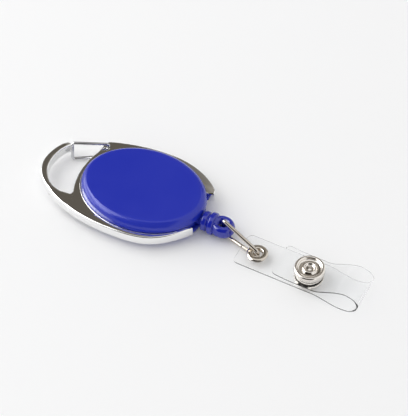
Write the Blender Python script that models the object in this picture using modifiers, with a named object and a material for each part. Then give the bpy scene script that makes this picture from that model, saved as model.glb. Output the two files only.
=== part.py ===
# Retractable badge reel on a carabiner frame, with a vinyl strap.
# Metres, +Z up. The reel lies on its back: the origin is the centre of the flat back,
# +X points the way the cord is pulled, and the spring gate is on the +Y side.

import math

import bpy
import bmesh
from mathutils import Matrix, Vector

# Carabiner frame
EYE_LENGTH = 0.01025         # opening of the hook, along X
FRAME_THICK = 0.0035
FRAME_EDGE = 0.0004          # rounding of the frame's edges
BACK_LIFT = 0.0020           # underside of the frame above the flat back
SEAT_BAR = 0.0046            # frame stock beyond the seat, along X
SEAT_RIM = 0.0030            # frame stock beside the seat, along Y
CORD_GAP = 0.0166            # opening in the frame where the cord leaves
GAP_SIDE = -0.0006           # the opening's middle, a little to the near side
FRAME_TURN = 2.0             # the frame's outline is turned a little on the case
HOOK_ARM = 0.0024            # width of the hook's arm at its tip
HOOK_SIDE = 0.0009           # how much the arm thins towards its sides
EYE_BAR = 0.00265            # stock between the seat and the hook's eye
EYE_BULGE = 19.5             # how fast the eye's inner edge curves away, per metre
EYE_FOOT = 0.0116            # how far the eye reaches towards the near side
EYE_CORNERS = (0.16, 0.45)   # rounding of the eye's near corners, as shares of the edge between them
NOSE_OUTER = 151.2           # where the hook's arm ends, as ellipse angles
NOSE_INNER = 153.6
ARM_FOOT = 222.0
ROOT_ANGLE = 124.0           # where the far side of the frame starts again
ROOT_SIDE = 0.0090
NOSE_ROUND = 0.0008
ROOT_ROUND = 0.0014
GAP_ROUND = 0.0005

# Spring gate
GATE_WIRE = 0.0010
GATE_STOCK = 0.00441         # gate's pivot beyond the seat
GATE_ANGLE = 140.60          # where it stands round the seat, as an ellipse angle
GATE_BEND = 0.0009
GATE_NOSE = 149.9            # where the gate's end bar rests, as an ellipse angle
GATE_SINK = 0.0006           # the end bar's middle out from the arm's inner side
GATE_RISE = 0.0006           # the gate's legs clear of the frame's faces
GATE_LEAN = 0.0014           # the end bar's foot leans into the eye
GATE_HOLE_PLAY = 0.0003      # hole in the frame wider than the wire
GATE_END = 0.0016            # how far each end of the wire goes into the hole

# Case
SEAT_CLEARANCE = 0.00025
CASE_WALL = 0.0012
CASE_ENDS = 0.00555          # room beyond the spool at the case's two ends, for the pegs
NEST_CLEARANCE = 0.00015     # between the rear wall and the front shell
SHELL_CLEARANCE = 0.0001     # between each shell and the frame
DOME_LAP = 0.0011            # front shell wider than the seat
DOME_HEIGHT = 0.0035
DOME_ROUND = 0.0023
DOME_ROOF = 0.0013
BASE_LAP = 0.0007            # rear shell wider than the seat
BASE_ROUND = 0.0005
FLOOR = 0.0012
REAR_TOP_GAP = 0.0013        # top of the rear wall under the roof
PEG_ANGLE = 32.3             # where the pegs stand round the spool
PEG_SPACE = 0.0007           # a peg's post to the spool
PEG_RADIUS = 0.0009
PEG_CLEARANCE = 0.00015
POST_WALL = 0.0007
PEG_DEPTH = 0.0022           # how far a peg goes into its post
POST_TOP_GAP = 0.0038        # top of a peg's post under the roof

# Cord exit
EXIT_SIDE = -0.0012          # the cord leaves a little to the near side
NOZZLE_RADIUS = 0.0016
NOZZLE_LENGTH = 0.0016
BORE_CLEARANCE = 0.0003      # cord to the bore

# Spring post, spool and spring
PIN_RADIUS = 0.0020
PIN_SEAT = 0.0007            # depth of the post in the floor
PIN_CLEARANCE = 0.0001
PIN_TOP_GAP = 0.0003
PIN_SLOT = 0.0006
PIN_FOOT = 0.0018            # solid length of the post above the floor
BOSS_WALL = 0.0010
BOSS_LENGTH = 0.0010
SPOOL_RADIUS = 0.0123
SPOOL_CLEARANCE = 0.00085    # spool flange to the case wall
SPOOL_RUN = 0.0003           # spool to the floor and to the post
FLANGE = 0.0007
GROOVE_DEPTH = 0.0024
GROOVE_WIDTH = 0.0032
CUP_WALL = 0.0012
CUP_FLOOR = 0.0011
SPOOL_TOP_GAP = 0.0014
COVER_THICK = 0.00045
COVER_CLEARANCE = 0.0002
COVER_BORE = 0.0026
SPRING_THICK = 0.00022
SPRING_INNER = 0.0030
SPRING_ROOM = 0.0006         # spring's outer turn to the cup's wall
SPRING_TURNS = 8.5
SPRING_GAP = 0.0004          # spring to the cup's floor and to the cover

# Cord
CORD_RADIUS = 0.0004
CORD_CLEARANCE = 0.0001
CORE_THICK = 0.0007          # the layers under the outer one
WIND_TURNS = 2.0
WIND_ROOM = 0.00015          # outer layer to each flange
LOOP_POINTS = 24
CORD_GAP_END = 0.0003        # between two stretches of the cord
RUN_END = 0.0009             # end of the inner stretch short of the nozzle's mouth
KNOT_RADIUS = 0.0012

# Cord end
END_SEAT = 0.00035           # collar to the nozzle
RIB_RADII = (0.0032, 0.0036)
RIB_LENGTH = 0.0018
RIB_GROOVE = 0.0005
RIB_GROOVE_DEPTH = 0.0006
RIB_ROUND = 0.0003
NECK_LENGTH = 0.0008
NECK_RADIUS = 0.0026
END_BORE = 0.0007
END_LIP = 0.0011             # wall that stops the knot
KNOT_PLAY = 0.0003
EYE_OFFSET = 0.00645         # collar's face to the middle of the eye
EYE_SPAN = (0.00295, 0.00235)  # middle line of the eye's ring, half along X and Y
EYE_WIDTH = 0.0021
EYE_THICK = 0.0040
EYE_ROUND = 0.0010

# Wire link
LINK_WIRE = 0.0010
LINK_PLACE = 0.0003          # the link's upright beyond the middle of the eye
LINK_TOP = 0.0014            # middle of the wire above and below the eye
LINK_UNDER = 0.0008
LINK_APEX = (0.0013, 0.00145)  # wire above and below the strap at the eyelet
LINK_PAST = 0.00015          # wire past the middle of the eyelet
LINK_BENDS = (0.0010, 0.0013, 0.0010, 0.0009)
LINK_SPLIT = 0.0004
LINK_SPLIT_PLACE = 0.55      # where the wire's ends meet along the lower leg

# Vinyl strap, measured along s from its end by the eyelet
STRAP_OFFSET = (0.00765, -0.0037)  # link's upright to the middle of the strap's end
STRAP_TURN = -2.6
STRAP_WIDTH = 0.0120
STRAP_THICK = 0.0005
STRAP_LIFT = 0.00205         # middle of the lower layer above the table
EYELET_PLACE = 0.00565
SNAP_PLACE = 0.0231
FLAP_RISE = 0.0017           # upper layer above the lower one at the snap
FLAP_END = 0.0129
FOLD_SPLIT = 0.0003
STRAP_STEPS = 4
LOOP_LOWER = ((0.0310, 0.0013), (0.0340, 0.00058), (0.0366, 0.00042), (0.0394, 0.0010),
              (0.0412, 0.0029), (0.0415, 0.0050), (0.0404, 0.0069), (0.0386, 0.0076), (0.0370, 0.0078))
LOOP_UPPER = ((0.0344, 0.0070), (0.0312, 0.0054))
SNAP_FLAT = 0.0045           # strap stays flat this far from the snap's middle
FLAP_END_RISE = 0.0006

# Eyelet and snap
LAYER_CLEARANCE = 0.0001
EYELET_HOLE = 0.0015
EYELET_BARREL = 0.00195
EYELET_TOP = (0.0033, 0.0006)
EYELET_FOOT = (0.0029, 0.0003)
HOLE_PLAY = 0.0001
CAP_RADIUS = 0.0048
CAP_HEIGHT = 0.00145
CAP_BARREL = (0.0021, 0.0026)
SOCKET_RADIUS = 0.0044
SOCKET_THICK = 0.0004
STUD_BASE = (0.0040, 0.00035)
STUD_RADIUS = 0.0015
STUD_HEIGHT = 0.00175
STUD_BORE = 0.0010
RIVET_RADIUS = 0.0008
RIVET_HEAD = (0.0046, 0.0014)

AXIS_MARK = 0.004            # drawn size of a joint's axis

# Heights and sizes that follow from the ones above
FRAME_TOP = BACK_LIFT + FRAME_THICK
MIDDLE = BACK_LIFT + FRAME_THICK / 2
DOME_FOOT = FRAME_TOP + SHELL_CLEARANCE
DOME_TOP = DOME_FOOT + DOME_HEIGHT
ROOF = DOME_TOP - DOME_ROOF
WALL_IN = (SPOOL_RADIUS + CASE_ENDS, SPOOL_RADIUS + SPOOL_CLEARANCE)
WALL_OUT = (WALL_IN[0] + CASE_WALL, WALL_IN[1] + CASE_WALL)
SEAT = (WALL_OUT[0] + SEAT_CLEARANCE, WALL_OUT[1] + SEAT_CLEARANCE)
DOME = (SEAT[0] + DOME_LAP, SEAT[1] + DOME_LAP)
FRAME_HALF_WIDTH = SEAT[1] + SEAT_RIM
EXIT_REACH = SEAT[0] + SEAT_BAR
HOOK_REACH = SEAT[0] + EYE_BAR + EYE_LENGTH + HOOK_ARM
DRUM_RADIUS = SPOOL_RADIUS - GROOVE_DEPTH
CUP_RADIUS = DRUM_RADIUS - CUP_WALL
SPOOL_BOTTOM = FLOOR + SPOOL_RUN
SPOOL_TOP = ROOF - SPOOL_TOP_GAP
GROOVE_TOP = MIDDLE + GROOVE_WIDTH / 2
GROOVE_BOTTOM = MIDDLE - GROOVE_WIDTH / 2
CUP_BOTTOM = SPOOL_BOTTOM + CUP_FLOOR
COVER_BOTTOM = SPOOL_TOP - COVER_THICK
SPRING_PITCH = (CUP_RADIUS - SPRING_ROOM - SPRING_INNER) / SPRING_TURNS
CORE_RADIUS = DRUM_RADIUS + CORD_CLEARANCE + CORE_THICK
WIND_RADIUS = CORE_RADIUS + CORD_CLEARANCE + CORD_RADIUS
WIND_PITCH = (GROOVE_WIDTH - 2 * CORD_RADIUS - 2 * WIND_ROOM) / WIND_TURNS
BORE_RADIUS = CORD_RADIUS + BORE_CLEARANCE
NOZZLE_END = WALL_OUT[0] + NOZZLE_LENGTH
END_FACE = NOZZLE_END + END_SEAT
EYE_MIDDLE = END_FACE + EYE_OFFSET
LINK_AXIS = (EYE_MIDDLE + LINK_PLACE, EXIT_SIDE)
STRAP_START = (LINK_AXIS[0] + STRAP_OFFSET[0], LINK_AXIS[1] + STRAP_OFFSET[1])
LOWER_TOP = STRAP_LIFT + STRAP_THICK / 2
LOWER_UNDER = STRAP_LIFT - STRAP_THICK / 2
FLAP_LIFT = STRAP_LIFT + FLAP_RISE
FLAP_TOP = FLAP_LIFT + STRAP_THICK / 2
FLAP_UNDER = FLAP_LIFT - STRAP_THICK / 2
FOLD = LOOP_LOWER[-1]
GATE_PIVOT = (math.cos(math.radians(GATE_ANGLE)) * (SEAT[0] + GATE_STOCK),
              math.sin(math.radians(GATE_ANGLE)) * (SEAT[1] + GATE_STOCK))

for old in list(bpy.data.objects):
    bpy.data.objects.remove(old, do_unlink=True)

parts = bpy.data.collections.new("badge_reel")
cutters = bpy.data.collections.new("cutters")
bpy.context.scene.collection.children.link(parts)
bpy.context.scene.collection.children.link(cutters)


def make_material(name, colour, roughness, metallic=0.0, alpha=1.0):
    material = bpy.data.materials.new(name)
    material.use_nodes = True
    shader = material.node_tree.nodes["Principled BSDF"]
    shader.inputs["Base Color"].default_value = (*colour, 1.0)
    shader.inputs["Roughness"].default_value = roughness
    shader.inputs["Metallic"].default_value = metallic
    shader.inputs["Alpha"].default_value = alpha
    return material


chrome = make_material("chrome", (0.72, 0.71, 0.70), 0.08, 1.0)
nickel = make_material("nickel", (0.66, 0.62, 0.57), 0.16, 1.0)
spring_steel = make_material("spring_steel", (0.42, 0.43, 0.45), 0.30, 1.0)
blue_shell = make_material("blue_shell", (0.027, 0.042, 0.415), 0.35)
blue_cord_end = make_material("blue_cord_end", (0.020, 0.030, 0.400), 0.30)
white_acetal = make_material("white_acetal", (0.80, 0.80, 0.78), 0.45)
nylon_cord = make_material("nylon_cord", (0.03, 0.03, 0.035), 0.70)
clear_vinyl = make_material("clear_vinyl", (0.90, 0.92, 0.93), 0.12, 0.0, 0.35)


# Points and outlines
def ellipse(rx, ry, start, end, count):
    angles = [math.radians(start + (end - start) * i / count) for i in range(count + 1)]
    return [Vector((rx * math.cos(a), ry * math.sin(a))) for a in angles]


def oval(size, count=64):
    half_step = 180 / count
    return ellipse(size[0], size[1], half_step, 360 + half_step, count)[:-1]


def walk(points, length):
    # What is left of a line of points after its first length is taken off
    rest = list(points)
    while length > 0:
        step = (rest[1] - rest[0]).length
        if step > length:
            return [rest[0].lerp(rest[1], length / step)] + rest[1:]
        length -= step
        rest = rest[1:]
    return rest


def trim(points, head, tail):
    return walk(walk(points, head)[::-1], tail)[::-1]


def corner(before, tip, after, count=3):
    steps = [i / (count + 1) for i in range(1, count + 1)]
    return [before.lerp(tip, t).lerp(tip.lerp(after, t), t) for t in steps]


def rounded(runs, closed=True):
    # Joins lines of points end to end. Each run is its points and the rounding at its end.
    line = []
    for i, (points, bend) in enumerate(runs):
        head = runs[i - 1][1] if closed or i else 0.0
        body = trim(points, head, bend)
        line += body if not line or (body[0] - line[-1]).length > 1e-7 else body[1:]
        if bend and (closed or i + 1 < len(runs)):
            following = walk(runs[(i + 1) % len(runs)][0], bend)
            line += corner(body[-1], points[-1], following[0])
    if closed and (line[0] - line[-1]).length < 1e-7:
        line.pop()
    return line


def polygon(points, bends, closed=True):
    count = len(points) if closed else len(points) - 1
    return rounded([([points[i], points[(i + 1) % len(points)]], bends[i]) for i in range(count)], closed)


def smooth(points, steps):
    # A smooth line through the points
    line = []
    for i in range(len(points) - 1):
        a = points[max(i - 1, 0)]
        b = points[i]
        c = points[i + 1]
        d = points[min(i + 2, len(points) - 1)]
        for j in range(steps):
            t = j / steps
            line.append(0.5 * (2 * b + (c - a) * t + (2 * a - 5 * b + 4 * c - d) * t * t
                               + (3 * b - a - 3 * c + d) * t ** 3))
    return line + [points[-1]]


def self_gap(points, thickness, skip):
    # Least clear distance between turns, on the points of the middle line
    least = 1.0
    for i in range(len(points)):
        for j in range(i + skip, len(points)):
            least = min(least, (points[i] - points[j]).length)
    return least - thickness


# Solids
def add_object(name, data, collection=parts):
    made = bpy.data.objects.new(name, data)
    collection.objects.link(made)
    return made


def as_mesh(curve_object):
    # A curve's caps are loose, so the mesh is welded
    bpy.context.view_layer.update()
    evaluated = curve_object.evaluated_get(bpy.context.evaluated_depsgraph_get())
    mesh = bpy.data.meshes.new_from_object(evaluated)
    work = bmesh.new()
    work.from_mesh(mesh)
    bmesh.ops.remove_doubles(work, verts=work.verts, dist=1e-6)
    bmesh.ops.recalc_face_normals(work, faces=work.faces)
    work.to_mesh(mesh)
    work.free()
    name = curve_object.name
    matrix = curve_object.matrix_world.copy()
    collection = curve_object.users_collection[0]
    bpy.data.objects.remove(curve_object)
    made = add_object(name, mesh, collection)
    made.name = name
    made.matrix_world = matrix
    return made


def add_spline(curve, points, cyclic):
    spline = curve.splines.new("POLY")
    spline.points.add(len(points) - 1)
    for place, point in zip(spline.points, points):
        place.co = (*point.to_3d(), 1.0)
    spline.use_cyclic_u = cyclic


def flat_solid(name, outline, bottom, top, edge=0.0, steps=1, collection=parts):
    # A flat outline given a thickness, with rounded edges
    curve = bpy.data.curves.new(name, "CURVE")
    curve.dimensions = "2D"
    curve.fill_mode = "BOTH"
    curve.extrude = (top - bottom) / 2 - edge
    curve.bevel_depth = edge
    curve.bevel_resolution = steps
    curve.offset = -edge
    add_spline(curve, outline, True)
    made = add_object(name, curve, collection)
    made.location.z = (top + bottom) / 2
    return as_mesh(made)


def tube(name, points, radius, cyclic=False, sides=2, collection=parts):
    curve = bpy.data.curves.new(name, "CURVE")
    curve.dimensions = "3D"
    curve.bevel_depth = radius
    curve.bevel_resolution = sides
    curve.use_fill_caps = not cyclic
    add_spline(curve, points, cyclic)
    return as_mesh(add_object(name, curve, collection))


def turned(name, profile, closed, steps=32, collection=parts):
    # A profile of (radius, height), down its outer side, turned about Z
    mesh = bpy.data.meshes.new(name)
    count = len(profile)
    edges = [(i, i + 1) for i in range(count - 1)]
    if closed:
        edges.append((count - 1, 0))
    mesh.from_pydata([(r, 0.0, z) for r, z in profile], edges, [])
    made = add_object(name, mesh, collection)
    screw = made.modifiers.new("turn", "SCREW")
    screw.axis = "Z"
    screw.steps = steps
    screw.render_steps = steps
    screw.use_merge_vertices = True
    screw.merge_threshold = 0.000001
    return as_mesh(made)


def rod(name, radius, bottom, top, place=(0.0, 0.0), steps=24, collection=cutters):
    profile = [(0.0, top), (radius, top), (radius, bottom), (0.0, bottom)]
    made = turned(name, profile, False, steps, collection)
    move(made, Matrix.Translation((place[0], place[1], 0.0)))
    return made


def move(made, matrix):
    made.data.transform(matrix)
    made.data.update()


def combine(made, other, operation, solver):
    # Cuts or joins, and keeps the other solid as a wire guide
    other.hide_render = True
    other.display_type = "WIRE"
    change = made.modifiers.new(operation.lower(), "BOOLEAN")
    change.operation = operation
    change.object = other
    change.solver = solver


def cut(made, other, solver="EXACT"):
    combine(made, other, "DIFFERENCE", solver)


def join(made, other, solver="EXACT"):
    combine(made, other, "UNION", solver)


def finish(made, material, pivot=None):
    made.data.materials.clear()
    made.data.materials.append(material)
    made.data.shade_smooth()
    made.data.set_sharp_from_angle(angle=math.radians(35))
    if pivot:
        made.parent = pivot
        made.matrix_parent_inverse = Matrix.Translation(pivot["place"]).inverted()
    return made


def pivot(name, place, parent=None):
    # An empty on a joint's axis, which carries the pieces that move
    made = add_object(name, None)
    made["place"] = place
    made.location = place
    made.empty_display_size = AXIS_MARK
    if parent:
        made.parent = parent
        made.matrix_parent_inverse = Matrix.Translation(parent["place"]).inverted()
    return made


# Places along the strap and the link
strap_turn = math.radians(STRAP_TURN)
strap_along = Vector((math.cos(strap_turn), math.sin(strap_turn), 0.0))


def strap_place(s, z=0.0):
    return Vector((*STRAP_START, z)) + strap_along * s


eyelet_place = strap_place(EYELET_PLACE)
snap_place = strap_place(SNAP_PLACE)
link_reach = eyelet_place.to_2d() - Vector(LINK_AXIS)

gate_axis = pivot("gate_axis", (*GATE_PIVOT, MIDDLE))
spool_axis = pivot("spool_axis", (0.0, 0.0, MIDDLE))
cord_axis = pivot("cord_axis", (END_FACE, EXIT_SIDE, MIDDLE))
link_axis = pivot("link_axis", (*LINK_AXIS, MIDDLE), cord_axis)
strap_axis = pivot("strap_axis", (eyelet_place.x, eyelet_place.y, STRAP_LIFT), link_axis)
flap_axis = pivot("flap_axis", tuple(strap_place(FOLD[0], FOLD[1] + STRAP_THICK / 2)), strap_axis)


# Carabiner frame
def hook_edge(y):
    return Vector((-SEAT[0] - EYE_BAR + EYE_BULGE * y * y, y))


def turned_line(points):
    # The outline's ellipses are turned together about the case's middle
    turn = Matrix.Rotation(math.radians(FRAME_TURN), 2)
    return [turn @ point for point in points]


def frame_outline():
    far_gap = CORD_GAP / 2 + GAP_SIDE
    near_gap = CORD_GAP / 2 - GAP_SIDE
    far_out, near_out = [math.degrees(math.asin(gap / FRAME_HALF_WIDTH)) for gap in (far_gap, near_gap)]
    far_in, near_in = [math.degrees(math.asin(gap / SEAT[1])) for gap in (far_gap, near_gap)]
    arm_in = (HOOK_REACH - HOOK_ARM, FRAME_HALF_WIDTH - HOOK_SIDE)
    near = turned_line(ellipse(EXIT_REACH, FRAME_HALF_WIDTH, -near_out, -90, 10)
                       + ellipse(HOOK_REACH, FRAME_HALF_WIDTH, -90, NOSE_OUTER - 360, 22)[1:])
    arm = turned_line(ellipse(*arm_in, NOSE_INNER, ARM_FOOT, 14))
    eye_side = [hook_edge(-EYE_FOOT + (EYE_FOOT + ROOT_SIDE) * i / 10) for i in range(11)]
    far = turned_line(ellipse(HOOK_REACH, FRAME_HALF_WIDTH, ROOT_ANGLE, 90, 8)
                      + ellipse(EXIT_REACH, FRAME_HALF_WIDTH, 90, far_out, 10)[1:])
    seat = ellipse(*SEAT, far_in, 360 - near_in, 44)
    foot = (eye_side[0] - arm[-1]).length
    return rounded([
        (near, NOSE_ROUND), ([near[-1], arm[0]], NOSE_ROUND), (arm, EYE_CORNERS[0] * foot),
        ([arm[-1], eye_side[0]], EYE_CORNERS[1] * foot), (eye_side, NOSE_ROUND),
        ([eye_side[-1], far[0]], ROOT_ROUND),
        (far, GAP_ROUND), ([far[-1], seat[0]], GAP_ROUND), (seat, GAP_ROUND),
        ([seat[-1], near[0]], GAP_ROUND)])


frame = flat_solid("carabiner_frame", frame_outline(), BACK_LIFT, FRAME_TOP, FRAME_EDGE)
gate_hole = (GATE_WIRE + GATE_HOLE_PLAY) / 2
cut(frame, rod("gate_hole", gate_hole, BACK_LIFT - FRAME_THICK, FRAME_TOP + FRAME_THICK, GATE_PIVOT, 12))
finish(frame, chrome)


# Spring gate, a wire bent to a U whose ends turn into the frame
def gate_points():
    arm_in = (HOOK_REACH - HOOK_ARM, FRAME_HALF_WIDTH - HOOK_SIDE)
    angle = math.radians(GATE_NOSE)
    wall = Vector((arm_in[0] * math.cos(angle), arm_in[1] * math.sin(angle)))
    out = Vector((wall.x / arm_in[0] ** 2, wall.y / arm_in[1] ** 2)).normalized()
    bar = turned_line([wall + out * GATE_SINK])[0]
    leg = (bar - Vector(GATE_PIVOT)).normalized()
    bar_foot = bar + Vector((-leg.y, leg.x)) * GATE_LEAN
    upper = FRAME_TOP + GATE_RISE + GATE_WIRE / 2
    lower = BACK_LIFT - GATE_RISE - GATE_WIRE / 2
    corners = [Vector((*GATE_PIVOT, FRAME_TOP - GATE_END)), Vector((*GATE_PIVOT, upper)),
               Vector((*bar, upper)), Vector((*bar_foot, lower)),
               Vector((*GATE_PIVOT, lower)), Vector((*GATE_PIVOT, BACK_LIFT + GATE_END))]
    return polygon(corners, [GATE_BEND] * 4 + [0.0], closed=False)


finish(tube("gate_wire", gate_points(), GATE_WIRE / 2), chrome, gate_axis)

# Front shell, a shallow oval dome with four pegs and a boss inside
front = flat_solid("front_shell", oval(DOME), DOME_FOOT - DOME_HEIGHT, DOME_TOP, DOME_ROUND, 3)
dome_cut = (DOME[0] + DOME_LAP, DOME[1] + DOME_LAP)
dome_foot = flat_solid("dome_foot", oval(dome_cut), -DOME_HEIGHT, DOME_FOOT, collection=cutters)
cut(front, dome_foot, "MANIFOLD")
nest = (WALL_OUT[0] + NEST_CLEARANCE, WALL_OUT[1] + NEST_CLEARANCE)
dome_inside = flat_solid("dome_inside", oval(nest), BACK_LIFT, ROOF, CASE_WALL / 2, 1, cutters)
cut(front, dome_inside, "MANIFOLD")
post_top = ROOF - POST_TOP_GAP
post_radius = PEG_RADIUS + PEG_CLEARANCE + POST_WALL
peg_reach = SPOOL_RADIUS + PEG_SPACE + post_radius
peg_along = peg_reach * math.cos(math.radians(PEG_ANGLE))
peg_aside = peg_reach * math.sin(math.radians(PEG_ANGLE))
peg_places = [(sx * peg_along, sy * peg_aside) for sx in (-1, 1) for sy in (-1, 1)]
for i, place in enumerate(peg_places):
    peg = rod(f"peg_{i}", PEG_RADIUS, post_top - PEG_DEPTH, ROOF + DOME_ROOF / 2, place, 12)
    join(front, peg, "MANIFOLD")
boss_in = PIN_RADIUS + PIN_CLEARANCE
boss = [(boss_in + BOSS_WALL, ROOF + DOME_ROOF / 2), (boss_in + BOSS_WALL, ROOF - BOSS_LENGTH),
        (boss_in, ROOF - BOSS_LENGTH), (boss_in, ROOF + DOME_ROOF / 2)]
join(front, turned("boss", boss, True, 24, cutters), "MANIFOLD")
finish(front, blue_shell)

# Rear shell, a flat base with a wall up through the frame's seat
rear = flat_solid("rear_shell", oval((SEAT[0] + BASE_LAP, SEAT[1] + BASE_LAP)), 0.0,
                  BACK_LIFT - SHELL_CLEARANCE, BASE_ROUND, 2)
join(rear, flat_solid("rear_wall", oval(WALL_OUT), FLOOR / 2, ROOF - REAR_TOP_GAP, collection=cutters))
nozzle = rod("nozzle", NOZZLE_RADIUS, WALL_OUT[0] - CASE_WALL, NOZZLE_END)
bore = rod("bore", BORE_RADIUS, WALL_IN[0] - CASE_WALL, NOZZLE_END + NOZZLE_LENGTH, steps=16)
to_exit = Matrix.Translation((0.0, EXIT_SIDE, MIDDLE)) @ Matrix.Rotation(math.radians(90), 4, "Y")
move(nozzle, to_exit)
move(bore, to_exit)
join(rear, nozzle)
cut(rear, flat_solid("rear_inside", oval(WALL_IN), FLOOR, ROOF, collection=cutters))
for i, place in enumerate(peg_places):
    join(rear, rod(f"peg_post_{i}", post_radius, FLOOR / 2, post_top, place, 16))
    socket_floor = post_top - PEG_DEPTH - PEG_CLEARANCE
    cut(rear, rod(f"peg_hole_{i}", PEG_RADIUS + PEG_CLEARANCE, socket_floor, ROOF, place, 12))
cut(rear, bore)
pin_bottom = FLOOR - PIN_SEAT
cut(rear, rod("pin_seat", PIN_RADIUS + PIN_CLEARANCE, pin_bottom - PIN_CLEARANCE, MIDDLE, steps=24))
finish(rear, blue_shell)

# Slotted post that holds the inner end of the spring
pin = rod("spring_post", PIN_RADIUS, pin_bottom, ROOF - PIN_TOP_GAP, collection=parts)
half_slot = Vector((PIN_RADIUS * 1.5, PIN_SLOT / 2))
slot = [Vector((sx * half_slot.x, sy * half_slot.y)) for sx, sy in ((-1, -1), (1, -1), (1, 1), (-1, 1))]
cut(pin, flat_solid("post_slot", slot, FLOOR + PIN_FOOT, DOME_TOP, collection=cutters))
finish(pin, white_acetal)

# Spool with a cord groove round its rim and a cup for the spring
spool_profile = [
    (DRUM_RADIUS, SPOOL_TOP), (DRUM_RADIUS, GROOVE_TOP + FLANGE), (SPOOL_RADIUS, GROOVE_TOP + FLANGE),
    (SPOOL_RADIUS, GROOVE_TOP), (DRUM_RADIUS, GROOVE_TOP), (DRUM_RADIUS, GROOVE_BOTTOM),
    (SPOOL_RADIUS, GROOVE_BOTTOM), (SPOOL_RADIUS, SPOOL_BOTTOM), (PIN_RADIUS + SPOOL_RUN, SPOOL_BOTTOM),
    (PIN_RADIUS + SPOOL_RUN, CUP_BOTTOM), (CUP_RADIUS, CUP_BOTTOM), (CUP_RADIUS, SPOOL_TOP)]
finish(turned("spool", spool_profile, True, 40), white_acetal, spool_axis)

cover_radius = CUP_RADIUS - COVER_CLEARANCE
cover_profile = [(cover_radius, SPOOL_TOP), (cover_radius, COVER_BOTTOM),
                 (COVER_BORE, COVER_BOTTOM), (COVER_BORE, SPOOL_TOP)]
finish(turned("spring_cover", cover_profile, True, 40), white_acetal, spool_axis)


# Power spring, a flat strip in a spiral with its inner end across the post's slot
def spring_points():
    line = [Vector((-PIN_RADIUS * 0.7, 0.0)), Vector((PIN_RADIUS, 0.0))]
    count = int(SPRING_TURNS * LOOP_POINTS)
    for i in range(3, count + 1):
        angle = 2 * math.pi * i / LOOP_POINTS
        radius = SPRING_INNER + SPRING_PITCH * i / LOOP_POINTS
        line.append(Vector((radius * math.cos(angle), radius * math.sin(angle))))
    return line


spring_line = spring_points()
spring_bottom = CUP_BOTTOM + SPRING_GAP
spring_top = COVER_BOTTOM - SPRING_GAP
ribbon = bpy.data.curves.new("power_spring", "CURVE")
ribbon.dimensions = "3D"
ribbon.extrude = (spring_top - spring_bottom) / 2
add_spline(ribbon, spring_line, False)
spring = as_mesh(add_object("power_spring", ribbon))
spring.location.z = (spring_top + spring_bottom) / 2
strip = spring.modifiers.new("thickness", "SOLIDIFY")
strip.thickness = SPRING_THICK
strip.offset = 0.0
finish(spring, spring_steel)
spring_gap = self_gap(spring_line, SPRING_THICK, LOOP_POINTS // 2)
print("power_spring least gap to itself (mm)", round(1000 * spring_gap, 3))

# Cord: inner layers, outer layer, the stretch to the exit and the end that is pulled
core_profile = [(CORE_RADIUS, GROOVE_TOP - CORD_CLEARANCE), (CORE_RADIUS, GROOVE_BOTTOM + CORD_CLEARANCE),
                (DRUM_RADIUS + CORD_CLEARANCE, GROOVE_BOTTOM + CORD_CLEARANCE),
                (DRUM_RADIUS + CORD_CLEARANCE, GROOVE_TOP - CORD_CLEARANCE)]
finish(turned("cord_core", core_profile, True, 32), nylon_cord, spool_axis)

bore_mouth = Vector((WALL_IN[0], EXIT_SIDE))
leave_angle = math.atan2(bore_mouth.y, bore_mouth.x) - math.acos(WIND_RADIUS / bore_mouth.length)
wind_top = MIDDLE + WIND_PITCH * WIND_TURNS / 2


def winding_points():
    line = []
    for i in range(int(WIND_TURNS * LOOP_POINTS) + 1):
        angle = leave_angle - 2 * math.pi * i / LOOP_POINTS
        height = wind_top - WIND_PITCH * i / LOOP_POINTS
        line.append(Vector((WIND_RADIUS * math.cos(angle), WIND_RADIUS * math.sin(angle), height)))
    return line


winding_line = winding_points()
finish(tube("cord_winding", winding_line, CORD_RADIUS, sides=1), nylon_cord, spool_axis)
winding_gap = self_gap(winding_line, 2 * CORD_RADIUS, LOOP_POINTS // 2)
print("cord_winding least gap to itself (mm)", round(1000 * winding_gap, 3))

# The stretch to the exit starts where it is clear of the layer that turns with the spool
leave_way = Vector((-math.sin(leave_angle), math.cos(leave_angle), 0.0))
clear_radius = WIND_RADIUS + 2 * CORD_RADIUS + CORD_GAP_END
run_start = winding_line[0] + leave_way * math.sqrt(clear_radius ** 2 - WIND_RADIUS ** 2)
run_bend = Vector((bore_mouth.x - CASE_WALL / 2, EXIT_SIDE - BORE_CLEARANCE, MIDDLE))
run_end = NOZZLE_END - RUN_END
run_line = smooth([run_start, run_start.lerp(run_bend, 0.5), run_bend,
                   Vector((bore_mouth.x + CASE_WALL / 2, EXIT_SIDE, MIDDLE)),
                   Vector((run_end, EXIT_SIDE, MIDDLE))], 4)
finish(tube("cord_run", run_line, CORD_RADIUS), nylon_cord)

knot_middle = END_FACE + END_LIP + KNOT_RADIUS + KNOT_PLAY / 2
lead_line = [Vector((run_end + CORD_GAP_END, EXIT_SIDE, MIDDLE)), Vector((knot_middle, EXIT_SIDE, MIDDLE))]
lead = tube("cord_lead", lead_line, CORD_RADIUS)
bpy.ops.mesh.primitive_uv_sphere_add(segments=16, ring_count=10, radius=KNOT_RADIUS,
                                     location=(knot_middle, EXIT_SIDE, MIDDLE))
knot = bpy.context.object
knot.name = "knot"
knot.users_collection[0].objects.unlink(knot)
cutters.objects.link(knot)
join(lead, knot)
finish(lead, nylon_cord, cord_axis)


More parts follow.
